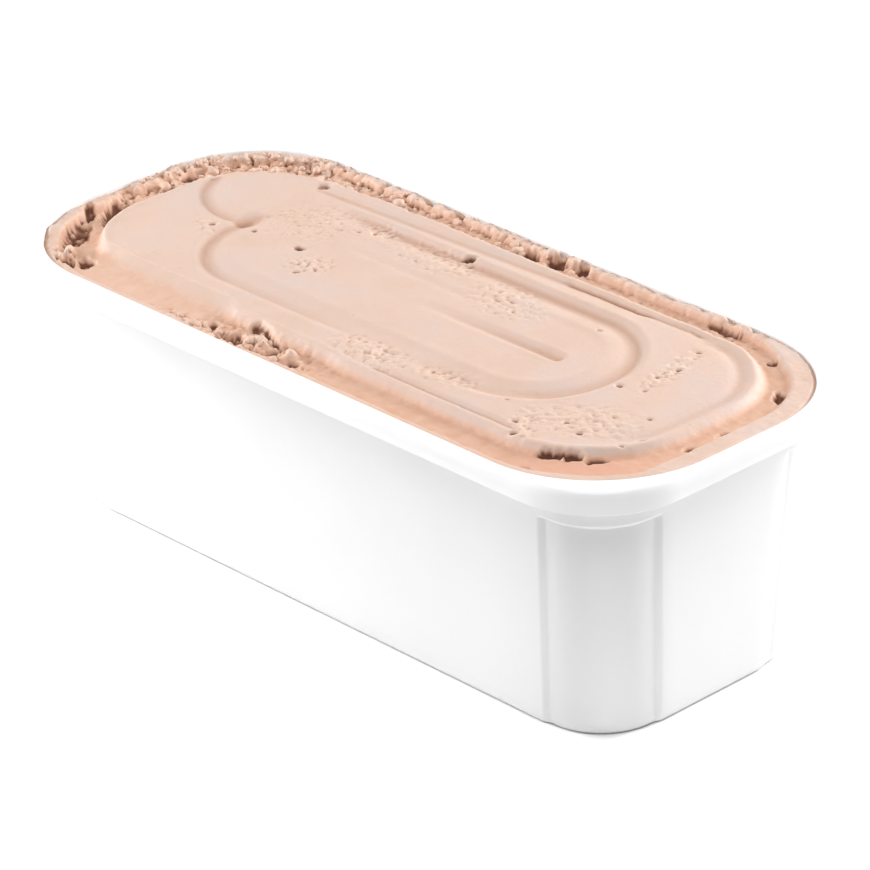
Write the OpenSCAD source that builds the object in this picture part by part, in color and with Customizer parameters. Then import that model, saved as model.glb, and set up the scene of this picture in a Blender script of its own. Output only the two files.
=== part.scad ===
// Long rectangular catering tub of ice cream, open, with its top pressed to shape by the lid.
// Millimetres. The origin is under the middle of the tub, +X runs along its length, +Z is up.

/* [Overall] */
// Length over the rim
rim_length = 360; // [290:5:440]
// Width over the rim
rim_width = 160; // [132:2:200]
// Height from the base to the top of the rim
height = 115; // [90:1:150]

/* [Rim] */
// Radius of the rim's outer corners
rim_corner_r = 42; // [34:1:50]
// Radius of the mouth's corners, inside the rim
mouth_corner_r = 55; // [46:1:60]
// Height of the skirt that hangs round the rim
rim_skirt = 9; // [7:0.5:12]
// Width of the rim's top on the straight sides
rim_top_w = 5.2; // [4.8:0.1:6.4]
// Width of the rounded shoulder from the rim's top to its skirt
rim_shoulder_w = 2.6; // [1.6:0.1:2.8]
// Height of that shoulder
rim_shoulder_h = 6.5; // [3:0.5:7]
// Radius of the rim's inner top edge
rim_inner_round = 1.5; // [1:0.1:1.5]
// How far the skirt flares out from top to bottom
skirt_flare = 0.5; // [0.2:0.1:0.6]
// Thickness of the skirt and of the wall behind it
skirt_wall = 1.5; // [1.2:0.1:1.8]
// Thickness of the rim's top
rim_roof = 2.2; // [1.8:0.1:3]

/* [Body] */
// How far the rim stands out past the body
rim_overhang = 13; // [11:0.5:16]
// Wall thickness
wall = 2; // [1.6:0.1:2.6]
// Floor thickness
floor_t = 2.2; // [1.8:0.1:3]
// How much each side draws in from the shoulder to the base
draft = 6.4; // [4:0.2:8]
// Radius of the body's corners at the shoulder
body_corner_r = 29.5; // [25:0.5:34]
// How much smaller that radius is at the base
corner_r_drop = 1; // [0:0.5:3]
// Radius of the edge round the base
base_round = 6; // [4:0.5:8]
// Depth of the step inside the mouth, below the rim top
step_depth = 9; // [8:0.5:11]
// Height of the sloping shoulder below that step
shoulder_h = 4; // [3:0.5:6]
// Depth of the plain collar's lower edge, below the rim top
collar_depth = 20.5; // [18:0.5:26]
// How far each corner column is set back from the side panels
column_recess = 1.5; // [0.6:0.1:1.8]
// Width of the slope from a panel down to its column
column_step = 4; // [1:0.5:6]

/* [Ice cream] */
// Clearance between the ice cream and the walls
fill_gap = 0.25; // [0.1:0.05:0.5]
// Drop from the rim top to the ice cream at the walls
edge_drop = 1.9; // [1.6:0.1:3]
// Drop from the rim top to the bottom of the perimeter trough
trough_drop = 3.7; // [3:0.1:6]
// Drop from the rim top to the pressed plateau
plateau_drop = 0.5; // [0.4:0.1:1.5]
// Distance from the mouth's left end to the plateau
plateau_left = 17; // [12:1:22]
// Distance from the mouth's right end to the plateau
plateau_right = 18; // [12:1:24]
// Distance from the mouth's front side to the plateau
plateau_front = 17.5; // [12:0.5:22]
// Distance from the mouth's back side to the plateau
plateau_back = 12.5; // [9:0.5:18]
// Radius of the plateau's corners
plateau_r = 46; // [38:1:48]
// Width of the plateau's sloping shoulder
plateau_slope = 6; // [4:0.5:9]
// Distance from the plateau's left end to the pressed loop
loop_left = 48; // [38:1:60]
// Distance from the plateau's right end to the pressed loop
loop_right = 55; // [40:1:65]
// Distance from the plateau's front side to the pressed loop
loop_front = 22; // [16:1:26]
// Distance from the plateau's back side to the pressed loop
loop_back = 21; // [14:1:24]
// Radius of the loop's corners
loop_r = 37; // [26:1:38]
// Depth of the pressed loop
loop_depth = 1.4; // [0.5:0.1:2]
// Width of the pressed lines
line_w = 5; // [3:0.5:7]
// Radius of the second pressed arc, in the back left corner
arc_r = 34; // [28:1:40]
// Distance from the plateau's left end to the middle of that arc
arc_left = 38; // [30:1:42]
// Distance from the plateau's back side to the middle of that arc
arc_back = 23; // [18:1:30]
// Depth of the pressed line in the middle
slot_depth = 1.4; // [0.5:0.1:2]
// Length of the pressed line in the middle
slot_l = 70; // [40:1:80]
// Distance from the middle of the loop to the start of that line
slot_start = 8; // [0:1:20]
// Depth of the pressed line along the back edge
back_line_depth = 0.8; // [0.3:0.1:1.2]
// Distance from the plateau's back side to that line
back_line_inset = 11; // [9:0.5:14]
// Height of the surface's slow unevenness
unevenness = 0.25; // [0:0.05:0.4]

/* [Hidden] */

tub_color = [0.96, 0.96, 0.97];
ice_cream_color = [0.89, 0.74, 0.64];

half_l = rim_length / 2;
half_w = rim_width / 2;
// Segments in each corner arc, and in each rounded edge of the section
arc_n = 11;
edge_n = 3;
// Surface points on each long side and each short side, and rings over the top
long_n = 27;
short_n = 5;
top_rings = 23;
// Half the width of the flat strip where the top's rings meet
middle_strip = 1.5;

inner_inset = rim_overhang + wall;
inner_corner_r = body_corner_r - wall;
shoulder_z = height - step_depth - shoulder_h;
// The wall's draft, as inset gained for each millimetre of drop
draft_slope = draft / shoulder_z;
// Height lost along the shoulder for each millimetre of inset
shoulder_slope = shoulder_h / (inner_inset - rim_top_w);
shoulder_t = wall * sqrt(1 + shoulder_slope * shoulder_slope);

mouth_l = half_l - rim_top_w;
mouth_w = half_w - rim_top_w;
skeleton_l = mouth_l - mouth_w;

plateau_x = (plateau_left - plateau_right) / 2;
plateau_y = (plateau_front - plateau_back) / 2;
plateau_l = mouth_l - (plateau_left + plateau_right) / 2;
plateau_w = mouth_w - (plateau_front + plateau_back) / 2;
loop_x = plateau_x + (loop_left - loop_right) / 2;
loop_y = plateau_y + (loop_front - loop_back) / 2;
loop_l = plateau_l - (loop_left + loop_right) / 2;
loop_w = plateau_w - (loop_front + loop_back) / 2;
arc_x = plateau_x - plateau_l + arc_left;
arc_y = plateau_y + plateau_w - arc_back;
slot_x = loop_x + slot_start + slot_l / 2;
back_line_y = plateau_y + plateau_w - back_line_inset;

// The shoulder stays clear of the inner round, and the roof's underside of the wall behind it
rim_flat = 0.3;
shoulder_w = min(rim_shoulder_w, rim_top_w - skirt_flare - rim_inner_round - rim_flat);
shoulder_drop = min(rim_shoulder_h, rim_skirt - 1);
roof_edge = min(skirt_wall + skirt_flare + 0.4 * shoulder_w, rim_top_w - skirt_wall - rim_flat);

// ---- Outlines and sections ----

// Inset of the body's outer face at height z, and the radius of its corners
function wall_inset(z) = rim_overhang + draft_slope * (shoulder_z - z);
function wall_r(z) = body_corner_r - corner_r_drop * (shoulder_z - z) / shoulder_z;

// One corner: its arc, set back by `recess`, between two points on the straight sides
function corner(k, a, b, r, z, recess) =
    let (
        c = [(k == 0 || k == 3 ? 1 : -1) * (a - r), (k < 2 ? 1 : -1) * (b - r)],
        t0 = 90 * k,
        t1 = t0 + 90,
        first = c + r * [cos(t0), sin(t0)] - column_step * [-sin(t0), cos(t0)],
        last = c + r * [cos(t1), sin(t1)] + column_step * [-sin(t1), cos(t1)]
    )
    concat(
        [[first[0], first[1], z]],
        [for (i = [0:arc_n])
            let (t = t0 + 90 * i / arc_n, p = c + (r - recess) * [cos(t), sin(t)])
            [p[0], p[1], z]],
        [[last[0], last[1], z]]
    );

// A ring is [inset from the rim's outer face, corner radius, height, column recess]
function tub_ring(ring) =
    [for (k = [0:3])
        each corner(k, half_l - ring[0], half_w - ring[0], ring[1], ring[2], ring[3])];

// The same outline for the ice cream, with points spread along the straight sides
function fill_ring(ring) =
    let (
        a = half_l - ring[0],
        b = half_w - ring[0],
        r = ring[1],
        arcs = [for (k = [0:3])
            let (c = [(k == 0 || k == 3 ? 1 : -1) * (a - r), (k < 2 ? 1 : -1) * (b - r)])
            [for (i = [0:arc_n])
                let (t = 90 * k + 90 * i / arc_n, p = c + r * [cos(t), sin(t)])
                [p[0], p[1], ring[2]]]]
    )
    [for (k = [0:3])
        let (
            next = arcs[(k + 1) % 4][0],
            last = arcs[k][arc_n],
            n = k % 2 == 0 ? long_n : short_n
        )
        each concat(arcs[k], [for (j = [1:n]) last + (next - last) * j / (n + 1)])];

// A closed skin over rings of n points each, from a point at height `from_z` in the middle of
// the first ring, up the outside, to one at `to_z` in the middle of the last
module skin(n, rings, from_z, to_z) {
    bottom = len(rings);
    top = bottom + 1;
    last = bottom - n;
    polyhedron(
        concat(rings, [[0, 0, from_z], [0, 0, to_z]]),
        concat(
            [for (i = [0:n - 1]) [bottom, i, (i + 1) % n]],
            [for (j = [0:n:last - n], i = [0:n - 1])
                let (p = j + i, q = j + (i + 1) % n)
                each [[p, p + n, q], [q, p + n, q + n]]],
            [for (i = [0:n - 1]) [top, last + (i + 1) % n, last + i]]
        ),
        10
    );
}

// ---- Tub ----

mouth_roof = height - rim_roof;
skirt_z = height - rim_skirt;
collar_z = height - collar_depth;
ledge_z = collar_z - column_recess;

// Outside, from the middle of the base up to the top of the rim
function base_edge() =
    [for (i = [0:edge_n])
        let (t = 90 * i / edge_n, z = base_round * (1 - cos(t)))
        [wall_inset(z) + base_round * (1 - sin(t)), wall_r(0) - base_round * (1 - sin(t)) / 2, z,
            column_recess]];

function outer_rings() = concat(
    base_edge(),
    [
        [wall_inset(ledge_z), wall_r(ledge_z), ledge_z, column_recess],
        [wall_inset(collar_z), wall_r(collar_z), collar_z, 0],
        [rim_overhang, body_corner_r, shoulder_z - shoulder_t + wall * shoulder_slope, 0],
        [rim_top_w - skirt_wall, mouth_corner_r + skirt_wall,
            height - step_depth - shoulder_t + skirt_wall * shoulder_slope, 0],
        [rim_top_w - skirt_wall, mouth_corner_r + skirt_wall, mouth_roof, 0],
        [roof_edge, rim_corner_r - roof_edge, mouth_roof, 0],
        [skirt_wall, rim_corner_r - skirt_wall, skirt_z, 0],
        [0, rim_corner_r, skirt_z, 0]
    ],
    [for (i = [0:edge_n])
        let (t = 90 * i / edge_n, d = skirt_flare + shoulder_w * (1 - cos(t)))
        [d, rim_corner_r - d, height - shoulder_drop * (1 - sin(t)), 0]]
);

// Inside, from the top of the rim down to the floor
function inner_rings() = concat(
    [for (i = [0:edge_n])
        let (t = 90 * i / edge_n, d = rim_inner_round * (1 - sin(t)))
        [rim_top_w - d, mouth_corner_r + d, height - rim_inner_round * (1 - cos(t)), 0]],
    [
        [rim_top_w, mouth_corner_r, height - step_depth, 0],
        [inner_inset, inner_corner_r, shoulder_z, 0]
    ],
    floor_edge()
);

function floor_edge() =
    let (r = base_round - wall)
    [for (i = [edge_n:-1:0])
        let (t = 90 * i / edge_n, z = floor_t + r * (1 - cos(t)))
        [wall_inset(z) + wall + r * (1 - sin(t)), wall_r(0) - wall - r * (1 - sin(t)) / 2, z, 0]];

module tub() {
    rings = [for (ring = concat(outer_rings(), inner_rings())) each tub_ring(ring)];
    color(tub_color)
        skin(4 * (arc_n + 3), rings, 0, floor_t);
}

// ---- Ice cream ----

function smooth(u) = let (v = min(max(u, 0), 1)) v * v * (3 - 2 * v);
function dip(d, w) = exp(-4 * d * d / (w * w));

// Distance from (x, y) to a rounded rectangle about (0, 0), negative inside it
function rect_distance(x, y, a, b, r) =
    let (u = abs(x) - a + r, v = abs(y) - b + r)
    norm([max(u, 0), max(v, 0)]) - r + min(max(u, v), 0);

// How far the lid's ribs press the plateau down at (x, y)
function pressed(x, y) =
    let (
        loop_corner = min(loop_r, loop_w - 1),
        loop = abs(rect_distance(x - loop_x, y - loop_y, loop_l, loop_w, loop_corner)),
        arc = abs(norm([x - arc_x, y - arc_y]) - arc_r) + max(y - arc_y + 8, 0),
        slot = norm([max(abs(x - slot_x) - slot_l / 2, 0), y - loop_y]),
        back_end = plateau_l - plateau_r,
        back = norm([max(abs(x - plateau_x) - back_end, 0), y - back_line_y])
    )
    max(
        loop_depth * dip(loop, line_w),
        loop_depth * dip(arc, line_w),
        slot_depth * dip(slot, line_w),
        back_line_depth * dip(back, line_w * 0.7)
    );

// Height of the ice cream's top at (x, y)
function top_z(x, y) =
    let (
        out = rect_distance(x - plateau_x, y - plateau_y, plateau_l, plateau_w, plateau_r),
        to_wall = -rect_distance(x, y, mouth_l, mouth_w, mouth_corner_r),
        on_plateau = smooth(-out / plateau_slope),
        ledge = 1 - smooth(to_wall / plateau_slope),
        bumps = sin(5.3 * x + 40) * sin(7.1 * y) + 0.6 * sin(11 * x - 9 * y)
    )
    height - trough_drop
        + (trough_drop - plateau_drop) * on_plateau
        + (trough_drop - edge_drop) * ledge * (1 - on_plateau)
        - pressed(x, y) * on_plateau
        + unevenness * bumps * smooth(to_wall / 2);

// Sides of the filling, from the floor up to its edge at the rim's wall
function side_rings() = concat(
    [for (i = [edge_n:-1:0])
        let (ring = floor_edge()[i])
        [ring[0] + fill_gap, ring[1] - fill_gap, ring[2]]],
    [
        [inner_inset + fill_gap, inner_corner_r - fill_gap, shoulder_z + fill_gap],
        [rim_top_w + fill_gap, mouth_corner_r - fill_gap, height - step_depth + fill_gap],
        [rim_top_w + fill_gap, mouth_corner_r - fill_gap, height - edge_drop]
    ]
);

// The top's rings run from its edge to a narrow strip along the middle
function top_points() =
    let (edge = fill_ring([rim_top_w + fill_gap, mouth_corner_r - fill_gap, height]))
    [for (j = [1:top_rings], p = edge)
        let (
            s = min(max(p[0], -skeleton_l), skeleton_l),
            t = middle_strip / mouth_w + (1 - middle_strip / mouth_w) * (1 - j / top_rings),
            x = s + (p[0] - s) * t,
            y = p[1] * t
        )
        [x, y, top_z(x, y)]];

module ice_cream() {
    rings = concat([for (ring = side_rings()) each fill_ring(ring)], top_points());
    color(ice_cream_color)
        skin(4 * (arc_n + 1) + 2 * (long_n + short_n), rings, floor_t, top_z(0, 0));
}

tub();
ice_cream();
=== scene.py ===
"""A long white catering tub of light chocolate ice cream, its top pressed to shape by the lid."""

import math

import bmesh
import bpy
import numpy as np
from mathutils import Matrix, Vector, noise


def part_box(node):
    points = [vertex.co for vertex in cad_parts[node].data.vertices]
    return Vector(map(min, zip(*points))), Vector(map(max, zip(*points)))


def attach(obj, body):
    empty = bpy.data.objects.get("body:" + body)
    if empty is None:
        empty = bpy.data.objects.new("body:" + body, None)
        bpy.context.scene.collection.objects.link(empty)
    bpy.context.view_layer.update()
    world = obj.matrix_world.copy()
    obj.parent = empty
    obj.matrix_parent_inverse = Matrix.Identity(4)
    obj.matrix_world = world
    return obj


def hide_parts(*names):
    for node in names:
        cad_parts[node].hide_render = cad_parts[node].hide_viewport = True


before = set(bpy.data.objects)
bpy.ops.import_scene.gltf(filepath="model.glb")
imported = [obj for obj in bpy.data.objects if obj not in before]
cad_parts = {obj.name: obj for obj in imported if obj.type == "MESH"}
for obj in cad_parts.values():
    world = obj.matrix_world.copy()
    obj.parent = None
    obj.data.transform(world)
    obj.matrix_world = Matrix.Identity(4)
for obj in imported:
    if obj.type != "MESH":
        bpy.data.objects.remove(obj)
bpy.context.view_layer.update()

MM = 0.001
_, tub_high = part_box("tub")
ice_low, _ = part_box("ice_cream")

# ---- Sizes, in millimetres ----

HALF_L = tub_high.x / MM
HALF_W = tub_high.y / MM
HEIGHT = tub_high.z / MM
FLOOR = ice_low.z / MM

RIM_CORNER_R = 42.0
MOUTH_CORNER_R = 55.0
RIM_SKIRT = 9.0
RIM_SHOULDER_W = 2.6
RIM_SHOULDER_H = 6.5
RIM_INNER_ROUND = 1.5
RIM_TOP_W = 5.2
SKIRT_WALL = 1.5
RIM_ROOF = 2.2
SKIRT_FLARE = 0.5
RIM_OVERHANG = 13.0
WALL = 2.0
DRAFT = 6.4
BODY_CORNER_R = 29.5
CORNER_R_DROP = 1.0
STEP_DEPTH = 9.0
SHOULDER_H = 4.0
COLLAR_DEPTH = 20.5
COLUMN_RECESS = 1.5
COLUMN_STEP = 4.0

SHOULDER_Z = HEIGHT - STEP_DEPTH - SHOULDER_H
COLLAR_Z = HEIGHT - COLLAR_DEPTH
MOUTH_L = HALF_L - RIM_TOP_W
MOUTH_W = HALF_W - RIM_TOP_W

# Clearance from the ice cream to the walls
FILL_GAP = 0.1


def wall_inset(z):
    """How far the body's outer face is set in from the rim's outer face at height z."""
    return RIM_OVERHANG + DRAFT * (SHOULDER_Z - z) / SHOULDER_Z


def wall_r(z):
    """Radius of the body's corners at height z."""
    return BODY_CORNER_R - CORNER_R_DROP * (SHOULDER_Z - z) / SHOULDER_Z


# ---- Helpers ----


def smooth(u):
    """0 to 1 with flat ends."""
    u = np.clip(u, 0.0, 1.0)
    return u * u * (3.0 - 2.0 * u)


def dip(distance, width):
    """A rounded groove's share of its depth at a distance from its middle."""
    return np.exp(-4.0 * (distance / width) ** 2)


def groove(out, width):
    """A pressed line's share of its depth: steep on its outer side and easy on its inner."""
    return dip(out, np.where(out > 0, 0.75 * width, 1.35 * width))


def blob(x, y, cx, cy, rx, ry, turn=0.0):
    """A soft oval patch: 1 in the middle, and nearly 0 past its radii."""
    c, s = math.cos(math.radians(turn)), math.sin(math.radians(turn))
    u = ((x - cx) * c + (y - cy) * s) / rx
    v = ((y - cy) * c - (x - cx) * s) / ry
    return np.exp(-1.5 * (u * u + v * v))


def hollow(x, y, cx, cy, rx, ry, turn, uneven):
    """An oval pit with steep ragged sides: 1 over its floor and 0 outside."""
    c, s = math.cos(math.radians(turn)), math.sin(math.radians(turn))
    u = ((x - cx) * c + (y - cy) * s) / rx
    v = ((y - cy) * c - (x - cx) * s) / ry
    return smooth((1.3 - np.hypot(u, v) * uneven) / 0.9)


def rect_distance(x, y, a, b, r):
    """Distance to a rounded rectangle about the origin, negative inside."""
    u = np.abs(x) - a + r
    v = np.abs(y) - b + r
    return np.hypot(np.maximum(u, 0), np.maximum(v, 0)) - r + np.minimum(np.maximum(u, v), 0)


def rough(x, y, size, seed, octaves=4):
    """Fractal noise of that grain size, about -1 to 1."""
    values = [
        noise.fractal(Vector((a / size, b / size, seed)), 0.9, 2.1, octaves)
        for a, b in zip(x, y)
    ]
    return np.array(values)


def crumbs(x, y, size, seed):
    """Rounded lumps with sharp creases between them, 0 to 1."""
    values = [
        noise.voronoi(Vector((a / size, b / size, seed)))[0][0] for a, b in zip(x, y)
    ]
    return 1.0 - np.clip(np.array(values), 0.0, 1.0)


def new_object(name, points, faces):
    """A smooth shaded mesh object from points in millimetres."""
    mesh = bpy.data.meshes.new(name)
    mesh.from_pydata([tuple(p) for p in np.asarray(points) * MM], [], faces)
    mesh.validate()
    mesh.update()
    mesh.shade_smooth()
    piece = bpy.data.objects.new(name, mesh)
    bpy.context.scene.collection.objects.link(piece)
    return piece


def add_mask(piece, name, values):
    """A value at each point, which the material reads."""
    layer = piece.data.attributes.new(name, "FLOAT", "POINT")
    layer.data.foreach_set("value", np.asarray(values, dtype=np.float32))


# ---- Outlines ----


def outline(a, b, r, segments, fractions):
    """Points of a rounded rectangle. Segment 0 is its right side, 1 the back right corner and
    so on round to 7, and a fraction runs along each."""
    x = np.empty(len(segments))
    y = np.empty(len(segments))
    sides = [(1, 0), (0, 1), (-1, 0), (0, -1)]
    for k in range(8):
        here = segments == k
        f = fractions[here]
        if k % 2 == 0:
            nx, ny = sides[k // 2]
            along = (a - r if nx == 0 else b - r) * (2 * f - 1)
            x[here] = nx * a - ny * along
            y[here] = ny * b + nx * along
        else:
            t = math.pi / 2 * (k // 2 + f)
            quadrant = k // 2
            cx = (a - r) * (1 if quadrant in (0, 3) else -1)
            cy = (b - r) * (1 if quadrant in (0, 1) else -1)
            x[here] = cx + r * np.cos(t)
            y[here] = cy + r * np.sin(t)
    return x, y


def along_outline(a, b, r, distances):
    """Segments and fractions of points at those distances round a rounded rectangle."""
    lengths = np.array([2 * (b - r), math.pi * r / 2, 2 * (a - r), math.pi * r / 2] * 2)
    ends = np.cumsum(lengths)
    distances = np.mod(distances, ends[-1])
    segments = np.minimum(np.searchsorted(ends, distances, side="right"), 7)
    fractions = (distances - (ends - lengths)[segments]) / lengths[segments]
    return segments, fractions


# ---- Tub ----

CORNER_STEPS = 26
STEP_POINTS = 7
SIDE_STEPS = 10
SHOULDER_STEPS = 12
INNER_ROUND_STEPS = 6

# The column's steps stand this far clear of the corner's arc
STEP_CLEAR = 0.2
# How far the underside's two inner rings are set in from its edge
BASE_RINGS = (14.0, 7.0)
BASE_ROUND = 6.0
# Height of the ledge under each column's collar
LEDGE_H = 1.6
# How far the step under the rim lies lower outside than inside, at its top and at its foot
STEP_TOP_DROP = 1.6
STEP_FOOT_DROP = 1.4


def corner_samples():
    """One quarter of a ring, from a side onto the next: (place, share of the column's recess).
    Place is the distance before the corner if negative, a fraction of the arc from 0 to 1, and
    1 plus the distance past it if more."""
    ramp = [k / (STEP_POINTS - 1) for k in range(STEP_POINTS)]
    before = [(-COLUMN_STEP * (1 - f) - STEP_CLEAR, float(smooth(f))) for f in ramp]
    arc = [(k / CORNER_STEPS, 1.0) for k in range(CORNER_STEPS + 1)]
    after = [(1 + COLUMN_STEP * f + STEP_CLEAR, float(smooth(1 - f))) for f in ramp]
    return before + arc + after


def tub_ring(inset, r, z, recess):
    """A ring of the tub's skin, with its corner columns set back by `recess`."""
    a, b = HALF_L - inset, HALF_W - inset
    ring = []
    corners = []
    for k in range(4):
        cx = (a - r) * (1 if k in (0, 3) else -1)
        cy = (b - r) * (1 if k in (0, 1) else -1)
        points = []
        for place, share in corner_samples():
            t = math.pi / 2 * (k + min(max(place, 0.0), 1.0))
            past = place if place < 0 else max(place - 1.0, 0.0)
            radius = r - recess * share
            points.append((
                cx + radius * math.cos(t) - past * math.sin(t),
                cy + radius * math.sin(t) + past * math.cos(t),
            ))
        corners.append(points)
    for k in range(4):
        ring += corners[k]
        start, stop = corners[k][-1], corners[(k + 1) % 4][0]
        for j in range(1, SIDE_STEPS):
            f = j / SIDE_STEPS
            ring.append((start[0] + (stop[0] - start[0]) * f, start[1] + (stop[1] - start[1]) * f))
    return [(x, y, z) for x, y in ring]


def rounded(path):
    """A section's corners (inset, corner radius, z, recess, fillet) with each fillet rounded."""
    out = []
    for i, (inset, r, z, recess, fillet) in enumerate(path):
        if fillet == 0 or i in (0, len(path) - 1):
            out.append((inset, r, z, recess))
            continue
        here = np.array([inset, z])
        back = np.array([path[i - 1][0], path[i - 1][2]]) - here
        ahead = np.array([path[i + 1][0], path[i + 1][2]]) - here
        lb, la = np.linalg.norm(back), np.linalg.norm(ahead)
        reach_b, reach_a = min(fillet, lb * 0.48), min(fillet, la * 0.48)
        p0, p2 = here + back / lb * reach_b, here + ahead / la * reach_a
        steps = max(4, int(fillet * 2.0))
        for s in range(steps + 1):
            f = s / steps
            p = (1 - f) ** 2 * p0 + 2 * f * (1 - f) * here + f * f * p2
            toward = path[i - 1] if f < 0.5 else path[i + 1]
            reach, length = (reach_b, lb) if f < 0.5 else (reach_a, la)
            w = abs(1 - 2 * f) * reach / length
            out.append((p[0], r + (toward[1] - r) * w, p[1], recess + (toward[3] - recess) * w))
    return out


def rim_top():
    """The rim's section from the top of its skirt, over the shoulder, to the inner wall."""
    out = []
    for k in range(SHOULDER_STEPS + 1):
        t = math.pi / 2 * k / SHOULDER_STEPS
        d = SKIRT_FLARE + RIM_SHOULDER_W * (1 - math.cos(t))
        out.append((d, RIM_CORNER_R - d, HEIGHT - RIM_SHOULDER_H * (1 - math.sin(t)), 0, 0))
    for k in range(INNER_ROUND_STEPS + 1):
        t = math.pi / 2 * k / INNER_ROUND_STEPS
        d = RIM_INNER_ROUND * (1 - math.sin(t))
        drop = RIM_INNER_ROUND * (1 - math.cos(t))
        out.append((RIM_TOP_W - d, MOUTH_CORNER_R + d, HEIGHT - drop, 0, 0))
    return out


def tub_section():
    """The tub's section, from the middle of the base, over the rim, to the floor inside."""
    roof_edge = SKIRT_WALL + SKIRT_FLARE + 0.4 * RIM_SHOULDER_W
    band = RIM_TOP_W - SKIRT_WALL
    band_r = MOUTH_CORNER_R + SKIRT_WALL
    skirt_r = RIM_CORNER_R - SKIRT_WALL
    roof = HEIGHT - RIM_ROOF
    skirt_z = HEIGHT - RIM_SKIRT
    ledge_z = COLLAR_Z - LEDGE_H
    inner = RIM_OVERHANG + WALL
    inner_r = BODY_CORNER_R - WALL
    return rounded([
        (wall_inset(0) + BASE_RINGS[0], wall_r(0) - 10, 0, 0, 0),
        (wall_inset(0) + BASE_RINGS[1], wall_r(0) - 4, 0, 0.4, 0),
        (wall_inset(0), wall_r(0), 0, COLUMN_RECESS, BASE_ROUND),
        (wall_inset(ledge_z / 2), wall_r(ledge_z / 2), ledge_z / 2, COLUMN_RECESS, 0),
        (wall_inset(ledge_z), wall_r(ledge_z), ledge_z, COLUMN_RECESS, 0.8),
        (wall_inset(COLLAR_Z), wall_r(COLLAR_Z), COLLAR_Z, 0, 0.8),
        (RIM_OVERHANG, BODY_CORNER_R, SHOULDER_Z - STEP_FOOT_DROP, 0, 1.5),
        (band, band_r, HEIGHT - STEP_DEPTH - STEP_TOP_DROP, 0, 1.5),
        (band, band_r, roof, 0, 0.3),
        (roof_edge, RIM_CORNER_R - roof_edge, roof, 0, 0.3),
        (SKIRT_WALL, skirt_r, skirt_z, 0, 0.5),
        (0, RIM_CORNER_R, skirt_z, 0, 0.6),
        *rim_top(),
        (RIM_TOP_W, MOUTH_CORNER_R, HEIGHT - STEP_DEPTH, 0, 1.5),
        (inner, inner_r, SHOULDER_Z, 0, 1.5),
        (wall_inset(FLOOR) + WALL, wall_r(0) - WALL, FLOOR, 0, 4),
        (wall_inset(FLOOR) + WALL + 6, wall_r(0) - WALL - 4, FLOOR, 0, 0),
    ])


def make_tub():
    rings = [tub_ring(*ring) for ring in tub_section()]
    n = len(rings[0])
    points = [p for ring in rings for p in ring]
    faces = [tuple(range(n))[::-1]]
    for j in range(len(rings) - 1):
        for i in range(n):
            k = (i + 1) % n
            faces.append((j * n + i, j * n + k, (j + 1) * n + k, (j + 1) * n + i))
    faces.append(tuple((len(rings) - 1) * n + i for i in range(n)))
    return new_object("tub_shell", points, faces)


# ---- Ice cream surface ----

# The plateau under the lid: its middle, half sizes, corner radius and depth below the rim
PLATEAU_X = -0.5
PLATEAU_Y = 2.5
PLATEAU_L = 157.3
PLATEAU_W = 59.8
PLATEAU_R = 46.0
PLATEAU_DROP = 0.55

# The loop that is pressed into it
LOOP_X = -4.0
LOOP_Y = 3.0
LOOP_L = 105.8
LOOP_W = 38.3
LOOP_R = 37.0
LOOP_LINE_DEPTH = 1.9
LOOP_LINE_W = 8.5

# The round mark in the back left corner
MARK_X = -120.0
MARK_Y = 39.0
MARK_R = 34.0
MARK_DEPTH = 1.8
MARK_W = 8.0

# The slot along the middle, which deepens and slants back towards its right end
SLOT_LEFT = 4.0
SLOT_RIGHT = 74.0
SLOT_RAMP = 66.0
SLOT_Y = 2.2
SLOT_SLANT = 1.8
SLOT_LEFT_DEPTH = 0.5
SLOT_DEEPENS = 1.3
SLOT_W = 6.4

# The line along the back, and the faint one inside the loop
BACK_LINE_Y = 51.2
BACK_LINE_SLANT = 0.035
BACK_LINE_DEPTH = 1.1
BACK_LINE_W = 5.6
FAINT_LINE_Y = 18.0
FAINT_LINE_DEPTH = 0.45

LIP_H = 0.35
SLOT_LIP_H = 0.3


def loop_mark(x, y):
    """Depth of the loop's line and height of its lips. The line is shallow along the front."""
    loop = rect_distance(x - LOOP_X, y - LOOP_Y, LOOP_L, LOOP_W, LOOP_R)
    # The loop is open where the round mark in the back left corner meets it
    fade = np.clip(1 - 1.4 * blob(x, y, -98, 32, 24, 20), 0, 1)
    along_front = smooth((-22 - y) / 10) * smooth((x + 92) / 24)
    front = 1 - along_front * (0.3 + 0.4 * blob(x, y, 22, -36, 50, 14))
    line = LOOP_LINE_DEPTH * fade * front * groove(loop, LOOP_LINE_W)
    lip = LIP_H * fade * front * (dip(loop + 11.0, 5.0) + 0.8 * dip(loop - 5.2, 3.6))
    return line, lip


def corner_mark(x, y):
    """Depth of the round mark in the back left corner, of which the front left part shows, and
    height of its lip."""
    from_arc = np.hypot(x - MARK_X, y - MARK_Y) - MARK_R
    fade = smooth((37 - y) / 10) * smooth((-102 - x) / 8)
    return MARK_DEPTH * fade * groove(from_arc, MARK_W), LIP_H * fade * dip(from_arc + 10.0, 4.4)


def slot_mark(x, y):
    """Depth of the slot and height of the lip round it."""
    along = np.clip((x - SLOT_LEFT) / SLOT_RAMP, 0, 1)
    past_end = np.abs(x - (SLOT_LEFT + SLOT_RIGHT) / 2) - (SLOT_RIGHT - SLOT_LEFT) / 2
    slot = np.hypot(np.maximum(past_end, 0), y - SLOT_Y - SLOT_SLANT * along)
    line = (SLOT_LEFT_DEPTH + SLOT_DEEPENS * along) * dip(slot, SLOT_W)
    return line, SLOT_LIP_H * along * dip(slot - 4.4, 3.2)


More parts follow.
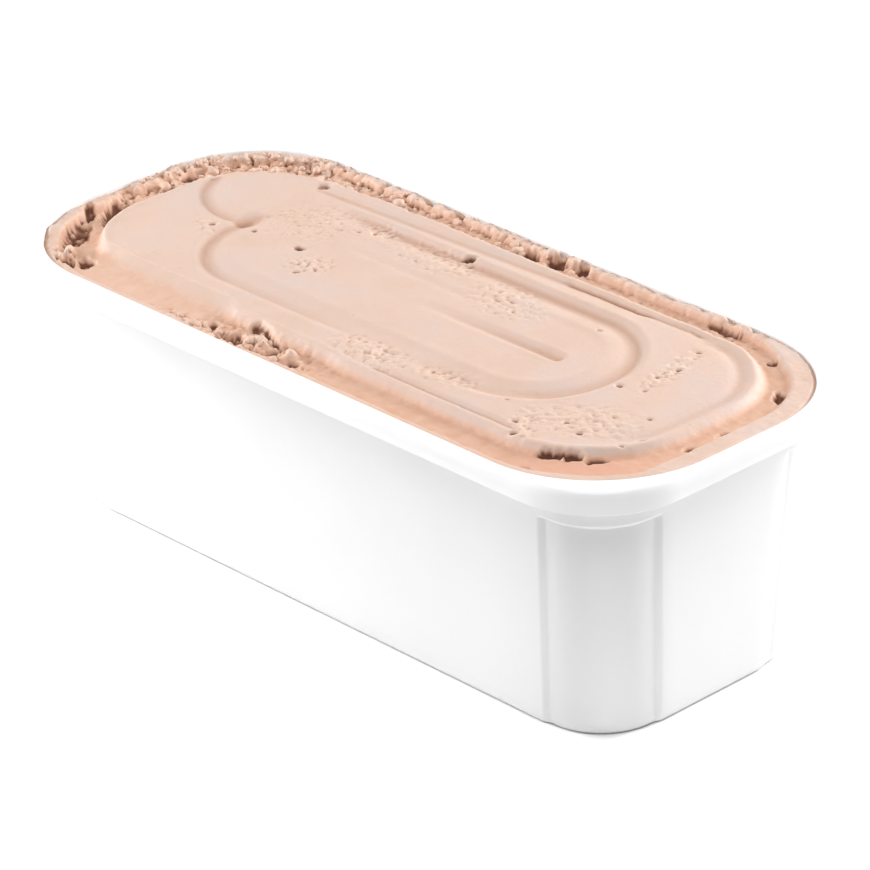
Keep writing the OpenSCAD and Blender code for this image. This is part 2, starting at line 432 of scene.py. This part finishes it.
def back_mark(x, y):
    """Depth of the line along the back and height of the lip in front of it."""
    fade = dip(np.maximum(np.abs(x + 20) - 88, 0), 14.0)
    out = y - BACK_LINE_Y - BACK_LINE_SLANT * (x + 60)
    line = BACK_LINE_DEPTH * fade * groove(out, BACK_LINE_W)
    return line, LIP_H * fade * dip(y - 45.6, 4.0)


def faint_marks(x, y, from_lip):
    """Depth of the faint line inside the loop, and of the ones inside the right and front lips."""
    inside_loop = dip(np.maximum(np.abs(x + 24) - 30, 0), 9.0)
    at_right = smooth((x - 92) / 26) * smooth((y + 44) / 24)
    at_front = dip(np.maximum(np.abs(x - 66) - 34, 0), 9.0)
    lines = FAINT_LINE_DEPTH * inside_loop * dip(y - FAINT_LINE_Y, 5.0)
    lines += 1.2 * at_right * dip(from_lip + 5.5, 7.5)
    return lines + at_front * dip(from_lip + 3.2, 3.2)


def pressed(x, y, from_lip):
    """Depth of the lines that the lid's ribs press into the plateau, and height of their lips."""
    marks = [loop_mark(x, y), corner_mark(x, y), slot_mark(x, y), back_mark(x, y)]
    lines = sum(line for line, _ in marks) + faint_marks(x, y, from_lip)
    return lines, sum(lip for _, lip in marks)


# Rough patches of the plateau: middle, radii, turn, height in millimetres
PATCHES = [
    (-88, 24, 28, 26, 20, 0.60),
    (-62, 36, 14, 10, 0, 0.80),
    (-59, -4, 13, 10, 30, 0.90),
    (-24, 34, 32, 14, 0, 0.68),
    (24, 26, 28, 16, -10, 0.70),
    (18, -42, 24, 12, 0, 0.90),
    (54, -37, 20, 9, 10, 0.70),
    (120, -28, 30, 18, 30, 0.60),
    (114, 26, 7, 26, 10, 0.75),
    (-118, -7, 12, 6, -40, 0.65),
    (106, -44, 8, 18, 35, 0.85),
]

# Small dark pits of the plateau: middle, radius, depth
PITS = [
    (-16, 45, 2.7, 4.6),
    (111, 44, 1.5, 1.5),
    (116, 28, 1.5, 1.5),
    (109, 2.5, 1.6, 1.7),
    (114, 18, 1.2, 1.2),
    (119, 6, 1.2, 1.2),
    (-117, -4, 1.8, 1.5),
    (-111, 53, 3.0, 1.8),
    (-62, 36, 2.0, 1.8),
    (-67, 31, 1.6, 1.4),
    (-73, 4, 2.6, 2.2),
    (101, -45, 1.6, 1.8),
    (108, -53, 1.9, 2.2),
    (137, -10, 1.2, 1.2),
    (147, -24, 1.6, 1.5),
    (145, -33, 1.5, 1.6),
    (116, -33, 1.4, 1.2),
    (126, -36, 1.3, 1.2),
    (69, 32, 1.3, 1.2),
    (-57, -12, 1.6, 1.4),
    (-99, 3, 1.9, 1.5),
    (86, -35, 1.2, 1.0),
]

# Hollows in the trough: middle, radii, turn, depth
HOLLOWS = [
    (-162, -18, 4.6, 10, 26, 6.5),
    (-169, -26, 2.4, 6, 47, 4.2),
    (-156, -43, 4.6, 13, 36, 3.6),
    (-137, -65, 3.4, 3.4, 0, 5.6),
    (-131, -60, 5.6, 3.6, -30, 4.6),
    (-165, 25, 3.0, 4.5, 0, 2.0),
    (-170, -4, 3.6, 3.6, 0, 2.0),
    (-171, 15, 3.6, 3.0, -40, 1.6),
    (-36.5, -67, 6.2, 5.4, -6, 7.5),
    (-33, -55, 3.0, 2.0, -20, 2.6),
    (-23.5, -56.5, 9.0, 1.2, -21, 3.0),
    (-14.5, -62.5, 1.8, 4.4, -24, 5.0),
    (-22, -68, 6.0, 1.6, 12, 3.6),
    (-1, -66, 3.0, 2.4, 20, 5.2),
    (-50, -62.5, 2.6, 1.8, -20, 3.4),
    (-53, -66.5, 2.4, 1.8, 0, 3.4),
    (-69, 73, 3.0, 1.8, 0, 2.6),
    (-50, 72.5, 3.2, 2.0, 0, 2.6),
    (-4, 67, 5.0, 2.6, -15, 6.0),
    (9, 69.5, 4.4, 3.6, 0, 7.4),
    (22, 71, 2.8, 3.0, 30, 5.4),
    (101, 69.5, 8.0, 2.4, 0, 1.8),
    (134, 60.5, 2.6, 2.0, -40, 3.2),
    (156, 41, 2.4, 5.0, 40, 3.4),
    (163, 3, 2.0, 3.4, 0, 2.6),
    (161, -14, 1.4, 2.4, 0, 1.8),
    (128, -52.5, 5.0, 2.2, 30, 4.8),
    (135, -48.5, 3.6, 2.2, 34, 5.0),
    (143, -44.5, 4.2, 1.8, 45, 2.2),
    (128, -66, 2.8, 1.4, 20, 1.8),
]

# Low mounds in the trough: middle, radii, turn, height
MOUNDS = [
    (-23.5, -62.5, 5.8, 3.6, -14, 4.0),
    (-6, -62.0, 5.0, 3.4, 0, 3.4),
    (-142, -60, 2.4, 8.0, 35, 4.6),
    (-163, -52, 5.0, 5.0, 0, 1.6),
    (4, 71, 2.8, 2.6, 0, 2.6),
    (16, 72, 2.4, 2.6, 20, 2.6),
    (95, 73, 5.0, 1.8, 0, 1.8),
    (109, 73, 4.0, 1.8, -10, 1.8),
]

# Torn parts of the trough: middle, radii, share
TORN_PARTS = [
    (-165, 36, 62, 46, 1.3),
    (-22, -64, 34, 12, 0.9),
    (-140, -62, 14, 9, 0.6),
    (-58, -68, 22, 5, 0.7),
]

PIT_ROUNDNESS = 0.8
PIT_TURN = 40

# Least and greatest depth of the surface below the rim
LEAST_DROP = 0.12
GREATEST_DROP = 11.0

TROUGH_DEPTH = 4.2
LEDGE_DEPTH = 1.7


class Zones:
    """Shares, from 0 to 1, of the parts of the top that differ."""

    def __init__(self, x, y):
        self.right = smooth((x - 112) / 30)
        self.left = smooth((-118 - x) / 30)
        self.front = smooth((-36 - y) / 16)
        self.back = smooth((y - 40) / 16) * (1 - self.right)
        self.right_end = self.right * smooth((y + 46) / 20)
        self.far = np.clip(self.back + self.left * smooth((y + 10) / 20), 0, 1)
        self.front_left = self.front * smooth((-46 - x) / 14) * smooth((x + 136) / 12)
        self.front_right = self.front * smooth((x - 4) / 14)
        torn = self.back * (0.2 + 0.4 * smooth((34 - x) / 22) + 0.35 * dip(x - 106, 22.0))
        for cx, cy, rx, ry, share in TORN_PARTS:
            torn += share * blob(x, y, cx, cy, rx, ry)
        self.torn = np.clip(torn, 0, 1)


def plateau_edge(x, y, zone):
    """Distance out from the foot of the plateau's slope, and the slope's width."""
    wobble = 0.7 * rough(x, y, 26, 3.0, 2)
    wobble += (0.12 + 1.3 * zone.torn) * rough(x, y, 5.5, 9.0, 4)
    edge = rect_distance(x - PLATEAU_X, y - PLATEAU_Y, PLATEAU_L, PLATEAU_W, PLATEAU_R) + wobble
    # The lid pressed less of the back left corner
    edge += 4.0 * blob(x, y, -136, 58, 46, 20) - 1.6 * zone.front_right
    slope = 3.4 + 7.0 * zone.front_left + 2.0 * zone.front + 1.6 * zone.right
    return edge, slope


def trough_drop(x, y, zone, to_wall):
    """Depth of the trough's smooth form: its bottom, and the ledge along the walls."""
    deep = TROUGH_DEPTH + 1.6 * blob(x, y, -158, -35, 18, 34)
    deep -= 0.9 * zone.front_left + 0.6 * zone.right
    ledge_depth = LEDGE_DEPTH - 0.5 * zone.right - 0.5 * zone.far + 0.4 * rough(x, y, 14, 5.0, 3)
    ledge_w = 3.2 + 1.2 * zone.right + 4.0 * zone.right_end + 2.0 * zone.left
    ledge = 1 - smooth((to_wall - ledge_w) / (2.6 + 1.0 * zone.right))
    # The ledge rounds down where it meets the wall
    at_wall = (1.3 - 0.7 * zone.far) * smooth((2.0 - to_wall) / 2.0)
    return deep - (deep - ledge_depth) * ledge + at_wall


def torn_relief(x, y, torn):
    """Height of the lumps and gouges where the trough is torn, and of its grain elsewhere."""
    lumps = crumbs(x, y, 3.6, 1.0) - 0.55
    fine = crumbs(x, y, 1.8, 2.0) - 0.55
    ragged = rough(x, y, 4.0, 7.0, 5)
    gouges = smooth((rough(x, y, 4.2, 31.0, 3) - 0.2) / 0.2)
    lumpy = torn * (1.6 * lumps + 1.6 * fine + 1.1 * ragged - 2.1 * gouges)
    return lumpy + (1 - torn) * 0.22 * ragged


def patch_relief(x, y):
    """Height of the plateau's rough patches, and how rough each point is."""
    patch = np.zeros_like(x)
    for cx, cy, rx, ry, turn, height in PATCHES:
        patch = np.maximum(patch, height * blob(x, y, cx, cy, rx, ry, turn))
    grain = 1.5 * (crumbs(x, y, 2.3, 4.0) - 0.6) + 1.1 * rough(x, y, 2.6, 12.0, 3)
    pocks = smooth((rough(x, y, 3.2, 18.0, 2) - 0.2) / 0.16)
    return smooth((patch - 0.1) / 0.25) * patch * (grain - 0.9 * pocks), patch


def hole_depths(x, y):
    """Depth of the pits and hollows, with uneven sides, and the deepest one's even depth."""
    uneven = 1 + 0.4 * rough(x, y, 3.0, 21.0, 3)
    pits = [(cx, cy, r, r * PIT_ROUNDNESS, PIT_TURN, depth) for cx, cy, r, depth in PITS]
    total, sunk = np.zeros_like(x), np.zeros_like(x)
    for cx, cy, rx, ry, turn, depth in pits + HOLLOWS:
        hole = depth * hollow(x, y, cx, cy, rx, ry, turn, uneven)
        total += hole * uneven
        sunk = np.maximum(sunk, hole)
    return total, sunk


def ice_surface(x, y):
    """Height of the ice cream's top, and masks of its trough, patches, lines and hollows."""
    to_wall = -rect_distance(x, y, MOUTH_L, MOUTH_W, MOUTH_CORNER_R)
    zone = Zones(x, y)
    edge, slope = plateau_edge(x, y, zone)
    on_plateau = smooth(-edge / slope)
    in_trough = 1 - on_plateau
    lines, lips = pressed(x, y, edge + slope)
    inside = smooth((-edge - slope * 0.7) / 2)
    patch_height, patch = patch_relief(x, y)
    holes, sunk = hole_depths(x, y)

    drop = in_trough * trough_drop(x, y, zone, to_wall) + on_plateau * PLATEAU_DROP
    height = in_trough * torn_relief(x, y, zone.torn) + on_plateau * patch_height
    # The lip along the plateau's edge
    height += (0.5 - 0.25 * zone.torn) * dip(edge + slope + 0.6, 3.0)
    height -= (lines - lips) * inside
    height += 0.12 * rough(x, y, 30, 15.0, 2) + 0.04 * rough(x, y, 3.0, 16.0, 2)
    for cx, cy, rx, ry, turn, mound in MOUNDS:
        height += mound * blob(x, y, cx, cy, rx, ry, turn)
    drop = np.clip(drop - height + holes, LEAST_DROP, GREATEST_DROP)

    # The trough's colour mask: its torn ice cream's own richer colour, plus painted shade that
    # grows with depth
    rich_and_shaded = in_trough * smooth((drop - 0.9) / 2.2)
    rich_and_shaded *= 1 + 0.5 * blob(x, y, 144, -50, 44, 26) - 0.35 * zone.front_left
    masks = {
        "trough": rich_and_shaded,
        "patch": patch,
        "line": lines * inside,
        "torn": in_trough * zone.torn,
        "sunk": sunk,
    }
    return HEIGHT - drop, masks


GRID_X = 470
GRID_Y = 184

# Smoothing passes that find small and wide hollows in the grid
SMALL_PASSES = 3
WIDE_PASSES = 50

# What each millimetre adds to the cavity mask, from which the material paints shade, in small
# hollows, in wide ones, in the pressed lines and in the holes, and how much less the small ones
# add where the surface is torn
SMALL_SHARE = 0.9
WIDE_SHARE = 0.42
LINE_SHARE = 0.17
HOLE_SHARE = 0.14
TORN_LESS = 0.2


def cavity(z, passes):
    """How far each point of a grid of heights lies below the ones around it, in millimetres."""
    around = z
    for _ in range(passes):
        wide = np.pad(around, 1, mode="edge")
        around = (wide[:-2, 1:-1] + wide[2:, 1:-1] + wide[1:-1, :-2] + wide[1:-1, 2:]) / 4
    return around - z


def cavity_mask(z, masks):
    """How enclosed each point is: over 0 in cracks, lines and holes, and under 0 on ridges. The
    material paints shade from it where it is over 0, and a highlight where it is under 0.
    """
    small = cavity(z, SMALL_PASSES).ravel()
    wide = np.maximum(cavity(z, WIDE_PASSES).ravel(), 0)
    wide_share = np.clip(masks["sunk"] + 0.8 * masks["torn"], 0, 1)
    shaded = (SMALL_SHARE - TORN_LESS * masks["torn"]) * small + WIDE_SHARE * wide_share * wide
    shaded += LINE_SHARE * masks["line"] + HOLE_SHARE * masks["sunk"]
    return np.clip(shaded, -0.5, 2)


def ice_sides():
    """Rings (inset, corner radius, z) of the filling below its edge, down to the floor."""
    inner = RIM_OVERHANG + WALL + FILL_GAP
    inner_r = BODY_CORNER_R - WALL - FILL_GAP
    base = wall_inset(FLOOR) + WALL + FILL_GAP
    base_r = wall_r(0) - WALL - FILL_GAP
    return [
        (RIM_TOP_W + FILL_GAP, MOUTH_CORNER_R - FILL_GAP, HEIGHT - STEP_DEPTH + 1.6),
        (RIM_TOP_W + FILL_GAP + 1.3, MOUTH_CORNER_R - FILL_GAP - 3, HEIGHT - STEP_DEPTH + FILL_GAP),
        (inner - 1, inner_r + 1.5, SHOULDER_Z + 0.7),
        (inner + 0.3, inner_r - 0.2, SHOULDER_Z - 1.2),
        (base - 0.4, base_r, FLOOR + 5),
        (base + 0.8, base_r - 0.8, FLOOR + 1.7),
        (base + 4, base_r - 4, FLOOR),
    ]


def edge_samples(a, b, r):
    """Segments and fractions of points round the top's edge, anticlockwise from the middle of
    its front right corner: GRID_Y steps up each end, and GRID_X along each side."""
    arc = math.pi * r / 2
    side_y, side_x = 2 * (b - r), 2 * (a - r)
    round_end = side_y + arc
    round_side = side_x + arc
    start = -arc / 2
    distances = np.concatenate([
        start + round_end * np.arange(GRID_Y) / GRID_Y,
        start + round_end + round_side * np.arange(GRID_X) / GRID_X,
        start + round_end + round_side + round_end * np.arange(GRID_Y) / GRID_Y,
        start + 2 * round_end + round_side + round_side * np.arange(GRID_X) / GRID_X,
    ])
    return along_outline(a, b, r, distances)


def top_grid(loop):
    """A grid of points (x, y) that fills the closed loop of edge points."""
    closed = np.vstack([loop, loop[:1]])
    right = closed[:GRID_Y + 1]
    back = closed[GRID_Y:GRID_Y + GRID_X + 1][::-1]
    left = closed[GRID_Y + GRID_X:2 * GRID_Y + GRID_X + 1][::-1]
    front = closed[2 * GRID_Y + GRID_X:]

    u = np.linspace(0, 1, GRID_X + 1)[:, None, None]
    v = np.linspace(0, 1, GRID_Y + 1)[None, :, None]
    grid = (1 - u) * left[None] + u * right[None] + (1 - v) * front[:, None] + v * back[:, None]
    grid -= (1 - u) * (1 - v) * front[0] + u * (1 - v) * front[-1]
    grid -= (1 - u) * v * back[0] + u * v * back[-1]
    return grid.reshape(-1, 2)


def make_ice():
    a, b, r = MOUTH_L - FILL_GAP, MOUTH_W - FILL_GAP, MOUTH_CORNER_R - FILL_GAP
    segments, fractions = edge_samples(a, b, r)
    flat = top_grid(np.stack(outline(a, b, r, segments, fractions), axis=1))
    z, masks = ice_surface(flat[:, 0], flat[:, 1])
    points = [np.column_stack([flat, z])]

    rows = GRID_Y + 1
    faces = []
    for i in range(GRID_X):
        for j in range(GRID_Y):
            p = i * rows + j
            faces.append((p, p + rows, p + rows + 1, p + 1))
    edge = [GRID_X * rows + j for j in range(GRID_Y)]
    edge += [(GRID_X - i) * rows + GRID_Y for i in range(GRID_X)]
    edge += [GRID_Y - j for j in range(GRID_Y)]
    edge += [i * rows for i in range(GRID_X)]

    above = edge
    n = len(edge)
    count = len(flat)
    for inset, ring_r, ring_z in ice_sides():
        x, y = outline(HALF_L - inset, HALF_W - inset, ring_r, segments, fractions)
        points.append(np.column_stack([x, y, np.full(n, ring_z)]))
        below = list(range(count, count + n))
        for i in range(n):
            k = (i + 1) % n
            faces.append((above[i], below[i], below[k], above[k]))
        above = below
        count += n
    faces.append(tuple(above[::-1]))
    piece = new_object("ice_cream_top", np.vstack(points), faces)
    masks["cavity"] = cavity_mask(z.reshape(GRID_X + 1, GRID_Y + 1), masks)
    for name in ("trough", "patch", "cavity"):
        spread = np.zeros(count)
        spread[:len(z)] = masks[name]
        add_mask(piece, name, spread)
    return piece


# ---- Crumbs ----

CRUMB_SEED = 11
CRUMB_TRIES = 5200
CRUMB_MIN_R = 0.5
CRUMB_MAX_R = 2.3
# How torn the surface has to be for a crumb, drawn between these two
CRUMB_TORN = (0.35, 1.3)
CRUMB_STRETCH = (0.75, 1.3)
CRUMB_UNEVEN = 0.42
# The middle's height above the surface, as a share of the radius
CRUMB_RISE = 0.25
# Crumbs stay this far below the rim, and lie no deeper than this
CRUMB_TOP_GAP = 0.3
CRUMB_DEEPEST = 6.0
# What the material reads on the crumbs; their cavity under 0 paints them paler, a painted highlight
CRUMB_MASKS = {"trough": 0.45, "patch": 0.4, "cavity": -0.25}


def ball_shape():
    """Points and faces of a round ball of radius 1."""
    ball = bmesh.new()
    bmesh.ops.create_icosphere(ball, subdivisions=2, radius=1.0)
    ball.verts.ensure_lookup_table()
    points = [v.co.copy() for v in ball.verts]
    faces = [tuple(v.index for v in f.verts) for f in ball.faces]
    ball.free()
    return points, faces


def make_crumbs():
    """Crumbs of ice cream half sunk in the torn parts of the trough."""
    rng = np.random.default_rng(CRUMB_SEED)
    x = rng.uniform(-MOUTH_L, MOUTH_L, CRUMB_TRIES)
    y = rng.uniform(-MOUTH_W, MOUTH_W, CRUMB_TRIES)
    radius = CRUMB_MIN_R + (CRUMB_MAX_R - CRUMB_MIN_R) * rng.uniform(0, 1, CRUMB_TRIES) ** 3
    to_wall = -rect_distance(x, y, MOUTH_L, MOUTH_W, MOUTH_CORNER_R)
    z, masks = ice_surface(x, y)
    chosen = masks["torn"] > rng.uniform(*CRUMB_TORN, CRUMB_TRIES)
    chosen &= (to_wall > 1.6 * radius + 0.6) & (HEIGHT - z < CRUMB_DEEPEST) & (masks["sunk"] < 0.5)

    shape, ball_faces = ball_shape()
    points, faces = [], []
    for k in np.flatnonzero(chosen):
        stretch = rng.uniform(*CRUMB_STRETCH, 3) * radius[k]
        turn = rng.uniform(0, 2 * math.pi)
        c, s = math.cos(turn), math.sin(turn)
        base = len(points)
        for v in shape:
            uneven = 1 + CRUMB_UNEVEN * noise.fractal(v * 1.1 + Vector((k, 0, 0)), 0.8, 2.1, 3)
            u = [v[i] * uneven * stretch[i] for i in range(3)]
            top = min(z[k] + CRUMB_RISE * radius[k] + u[2], HEIGHT - CRUMB_TOP_GAP)
            points.append((x[k] + c * u[0] - s * u[1], y[k] + s * u[0] + c * u[1], top))
        faces += [tuple(base + i for i in f) for f in ball_faces]
    piece = new_object("loose_crumbs", points, faces)
    for name, value in CRUMB_MASKS.items():
        add_mask(piece, name, np.full(len(points), value))
    return piece


# ---- Materials ----

# Linear red, green and blue. A list has stops of a noise: (its value, the colour there).
PLASTIC_COLOURS = [(0.3, (0.775, 0.775, 0.785)), (0.7, (0.80, 0.80, 0.805))]
FLOOR_COLOURS = [(0.3, (0.93, 0.93, 0.93)), (0.7, (0.94, 0.94, 0.94))]
PRESSED_COLOURS = [
    (0.36, (0.555, 0.405, 0.33)),
    (0.5, (0.572, 0.422, 0.352)),
    (0.64, (0.55, 0.428, 0.372)),
]
TORN_COLOURS = [(0.3, (0.55, 0.32, 0.22)), (0.7, (0.60, 0.39, 0.29))]
PATCH_COLOUR = (0.66, 0.485, 0.385)
# The deepest trough, richer and darker: partly its own colour, partly painted shade
RICH_AND_SHADED_COLOUR = (0.56, 0.315, 0.225)
# Painted shade in creases, pressed lines and holes
CREASE_SHADE_COLOUR = (0.40, 0.21, 0.13)
HOLE_SHADE_COLOUR = (0.13, 0.045, 0.022)
# Painted highlight on ridges
RIDGE_HIGHLIGHT_COLOUR = (0.74, 0.57, 0.46)
SPECK_COLOUR = (0.36, 0.22, 0.16)
# A noise below the first value is a speck, and above the second it isn't
SPECK_STOPS = [(0.235, (1, 1, 1)), (0.25, (0, 0, 0))]


class Nodes:
    """A material's node tree, with short calls to add and join nodes."""

    def __init__(self, name):
        self.material = bpy.data.materials.new(name)
        self.material.use_nodes = True
        self.tree = self.material.node_tree
        self.shader = self.tree.nodes["Principled BSDF"]

    def add(self, kind, values=(), **settings):
        node = self.tree.nodes.new(kind)
        for key, value in settings.items():
            setattr(node, key, value)
        for key, value in dict(values).items():
            node.inputs[key].default_value = value
        return node

    def join(self, source, target):
        self.tree.links.new(source, target)

    def set(self, **values):
        for key, value in values.items():
            self.shader.inputs[key.replace("_", " ")].default_value = value

    def place(self):
        """Places on the surface, in metres."""
        return self.add("ShaderNodeTexCoord").outputs["Object"]

    def noise(self, place, scale, detail=4.0, roughness=0.6):
        node = self.add(
            "ShaderNodeTexNoise", {"Scale": scale, "Detail": detail, "Roughness": roughness}
        )
        self.join(place, node.inputs["Vector"])
        return node.outputs["Fac"]

    def ramp(self, value, stops):
        node = self.add("ShaderNodeValToRGB")
        points = node.color_ramp.elements
        while len(points) < len(stops):
            points.new(0.5)
        for point, (at, colour) in zip(points, stops):
            point.position = at
            point.color = (*colour, 1.0)
        self.join(value, node.inputs["Fac"])
        return node.outputs["Color"]

    def range(self, value, low, high, to_low, to_high):
        node = self.add("ShaderNodeMapRange")
        for key, number in zip(
            ("From Min", "From Max", "To Min", "To Max"), (low, high, to_low, to_high)
        ):
            node.inputs[key].default_value = number
        self.join(value, node.inputs["Value"])
        return node.outputs["Result"]

    def mix(self, factor, first, second):
        node = self.add("ShaderNodeMix", data_type="RGBA")
        sockets = [s for s in node.inputs if s.type == "RGBA"]
        self.join(factor, node.inputs["Factor"])
        for socket, value in zip(sockets, (first, second)):
            if isinstance(value, tuple):
                socket.default_value = (*value, 1.0)
            else:
                self.join(value, socket)
        return [s for s in node.outputs if s.type == "RGBA"][0]

    def bump(self, height, distance, strength=1.0, before=None):
        node = self.add("ShaderNodeBump", {"Strength": strength, "Distance": distance})
        self.join(height, node.inputs["Height"])
        if before:
            self.join(before, node.inputs["Normal"])
        return node.outputs["Normal"]


def plastic_material():
    """White polypropylene, satin, with the faint unevenness of a moulded wall."""
    n = Nodes("white_polypropylene")
    place = n.place()
    colour = n.ramp(n.noise(place, 14.0, 2.0), PLASTIC_COLOURS)
    n.join(colour, n.shader.inputs["Base Color"])
    n.join(n.range(n.noise(place, 60.0), 0.3, 0.7, 0.30, 0.40), n.shader.inputs["Roughness"])
    waves = n.bump(n.noise(place, 22.0, 1.0), 0.0006, 0.25)
    grain = n.bump(n.noise(place, 1800.0, 2.0), 0.00002, 0.35, waves)
    n.join(grain, n.shader.inputs["Normal"])
    n.set(IOR=1.49, Subsurface_Weight=0.15, Subsurface_Scale=0.004)
    n.shader.inputs["Subsurface Radius"].default_value = (1.0, 1.0, 1.0)
    return n.material


def read_mask(n, name):
    return n.add("ShaderNodeAttribute", attribute_name=name).outputs["Fac"]


def ice_colour(n, place, patch):
    """Paler where the lid pressed it, richer in the trough (its torn ice cream's own colour, with
    painted shade that deepens with depth), painted shade in creases and holes, a painted
    highlight on ridges, and fine specks.
    """
    trough = read_mask(n, "trough")
    cavity_depth = read_mask(n, "cavity")
    pressed_colour = n.ramp(n.noise(place, 26.0, 3.0), PRESSED_COLOURS)
    torn_colour = n.ramp(n.noise(place, 160.0, 4.0), TORN_COLOURS)
    colour = n.mix(n.range(patch, 0.2, 0.9, 0.0, 0.45), pressed_colour, PATCH_COLOUR)
    # The trough's torn colour, then richer and darker where it lies deepest: its own colour and
    # painted shade
    colour = n.mix(n.range(trough, 0.1, 0.9, 0.0, 1.0), colour, torn_colour)
    colour = n.mix(n.range(trough, 1.0, 1.5, 0.0, 1.0), colour, RICH_AND_SHADED_COLOUR)
    # Painted shade: darker in creases and pressed lines, near black in holes, by how enclosed each
    # point is
    colour = n.mix(n.range(cavity_depth, 0.12, 0.6, 0.0, 0.75), colour, CREASE_SHADE_COLOUR)
    colour = n.mix(n.range(cavity_depth, 0.5, 1.3, 0.0, 0.95), colour, HOLE_SHADE_COLOUR)
    # Painted highlight: paler on ridges, where the cavity mask is under 0
    colour = n.mix(n.range(cavity_depth, -0.1, -0.5, 0.0, 0.5), colour, RIDGE_HIGHLIGHT_COLOUR)
    specks = n.ramp(n.noise(place, 420.0, 2.0, 0.5), SPECK_STOPS)
    return n.mix(n.range(specks, 0, 1, 0, 0.5), colour, SPECK_COLOUR)


def ice_grain(n, place, patch):
    """Bumps of the ice cream: soft all over, and pebbly in the rough patches."""
    soft = n.bump(n.noise(place, 500.0, 4.0), 0.0004, 0.35)
    coarse = n.add("ShaderNodeTexVoronoi", {"Scale": 700.0})
    n.join(place, coarse.inputs["Vector"])
    pebbly = n.add("ShaderNodeMath", operation="MULTIPLY")
    n.join(coarse.outputs["Distance"], pebbly.inputs[0])
    n.join(n.range(patch, 0.1, 0.8, 0.1, 1.0), pebbly.inputs[1])
    return n.bump(pebbly.outputs[0], 0.0005, 0.6, soft)


def ice_material():
    """Light chocolate ice cream, which reads the masks on its mesh."""
    n = Nodes("light_chocolate_ice_cream")
    place = n.place()
    patch = read_mask(n, "patch")
    n.join(ice_colour(n, place, patch), n.shader.inputs["Base Color"])
    n.join(n.range(n.noise(place, 300.0), 0.3, 0.7, 0.5, 0.68), n.shader.inputs["Roughness"])
    n.join(ice_grain(n, place, patch), n.shader.inputs["Normal"])
    n.set(IOR=1.35, Subsurface_Weight=0.2, Subsurface_Scale=0.0016)
    n.shader.inputs["Subsurface Radius"].default_value = (1.0, 0.6, 0.45)
    return n.material


def floor_material():
    n = Nodes("pale_floor")
    shade = n.ramp(n.noise(n.place(), 2.0, 2.0), FLOOR_COLOURS)
    n.join(shade, n.shader.inputs["Base Color"])
    n.set(Roughness=0.9, Specular_IOR_Level=0.1)
    return n.material


# ---- Stage ----

CAMERA_AZIMUTH = 47.07
CAMERA_ELEVATION = 26.72
CAMERA_ROLL = -1.7
CAMERA_DISTANCE = 5.58 * 2 * HALF_L * MM
CAMERA_LENS = 208.8
CAMERA_TARGET = Vector((0.0148 * 2 * HALF_L, 0.0073 * 2 * HALF_L, HEIGHT / 2)) * MM

# Half of the floor's side, in metres
FLOOR_HALF = 8.0
SKY_STRENGTH = 0.13

# Soft lights: name, direction seen by the camera (right, away, up), distance, side, power
LIGHTS = [
    ("left_softbox", (-1.0, 0.35, 0.5), 0.9, 0.45, 8.4),
    ("right_softbox", (1.0, 0.35, 0.5), 0.9, 0.45, 10.8),
    ("top_softbox", (0.0, -0.45, 1.0), 1.3, 0.8, 12.0),
]


def camera_axes():
    """The camera's right, up and backward directions before it is rolled."""
    az, el = math.radians(CAMERA_AZIMUTH), math.radians(CAMERA_ELEVATION)
    back = Vector((math.sin(az) * math.cos(el), -math.cos(az) * math.cos(el), math.sin(el)))
    right = Vector((math.cos(az), math.sin(az), 0))
    return right, back.cross(right), back


def make_camera():
    right, up, back = camera_axes()
    c, s = math.cos(math.radians(CAMERA_ROLL)), math.sin(math.radians(CAMERA_ROLL))
    right, up = c * right + s * up, c * up - s * right
    data = bpy.data.cameras.new("camera")
    data.lens = CAMERA_LENS
    data.clip_end = 100
    camera = bpy.data.objects.new("camera", data)
    turn = Matrix((right, up, back)).transposed().to_4x4()
    bpy.context.scene.collection.objects.link(camera)
    camera.matrix_world = Matrix.Translation(CAMERA_TARGET + back * CAMERA_DISTANCE) @ turn
    bpy.context.scene.camera = camera


def make_light(name, direction, distance, size, power):
    """A soft square light that faces the tub from a direction."""
    data = bpy.data.lights.new(name, "AREA")
    data.size = size
    data.energy = power
    light = bpy.data.objects.new(name, data)
    direction = Vector(direction).normalized()
    light.location = direction * distance
    light.rotation_mode = "QUATERNION"
    light.rotation_quaternion = direction.to_track_quat("Z", "Y")
    bpy.context.scene.collection.objects.link(light)


def make_lights():
    right, _, back = camera_axes()
    away = -Vector((back.x, back.y, 0)).normalized()
    level = Vector((0, 0, 1))
    for name, (to_right, to_away, to_top), distance, size, power in LIGHTS:
        direction = right * to_right + away * to_away + level * to_top
        make_light(name, direction, distance, size, power)


def make_floor():
    side = FLOOR_HALF
    corners = [(-side, -side, 0), (side, -side, 0), (side, side, 0), (-side, side, 0)]
    mesh = bpy.data.meshes.new("floor")
    mesh.from_pydata(corners, [], [(0, 1, 2, 3)])
    floor = bpy.data.objects.new("floor", mesh)
    floor.data.materials.append(floor_material())
    bpy.context.scene.collection.objects.link(floor)


def make_sky():
    """A weak even white light from all round."""
    world = bpy.data.worlds.new("studio")
    world.use_nodes = True
    sky = world.node_tree.nodes["Background"]
    sky.inputs["Color"].default_value = (1, 1, 1, 1)
    sky.inputs["Strength"].default_value = SKY_STRENGTH
    bpy.context.scene.world = world


# ---- The scene ----

bpy.context.scene.view_settings.view_transform = "Standard"
make_camera()
make_floor()
make_sky()
make_lights()

tub = make_tub()
tub.data.materials.append(plastic_material())
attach(tub, "root")
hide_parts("tub")

ice_cream = ice_material()
ice = make_ice()
ice.data.materials.append(ice_cream)
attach(ice, "root")
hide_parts("ice_cream")

loose = make_crumbs()
loose.data.materials.append(ice_cream)
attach(loose, "root")
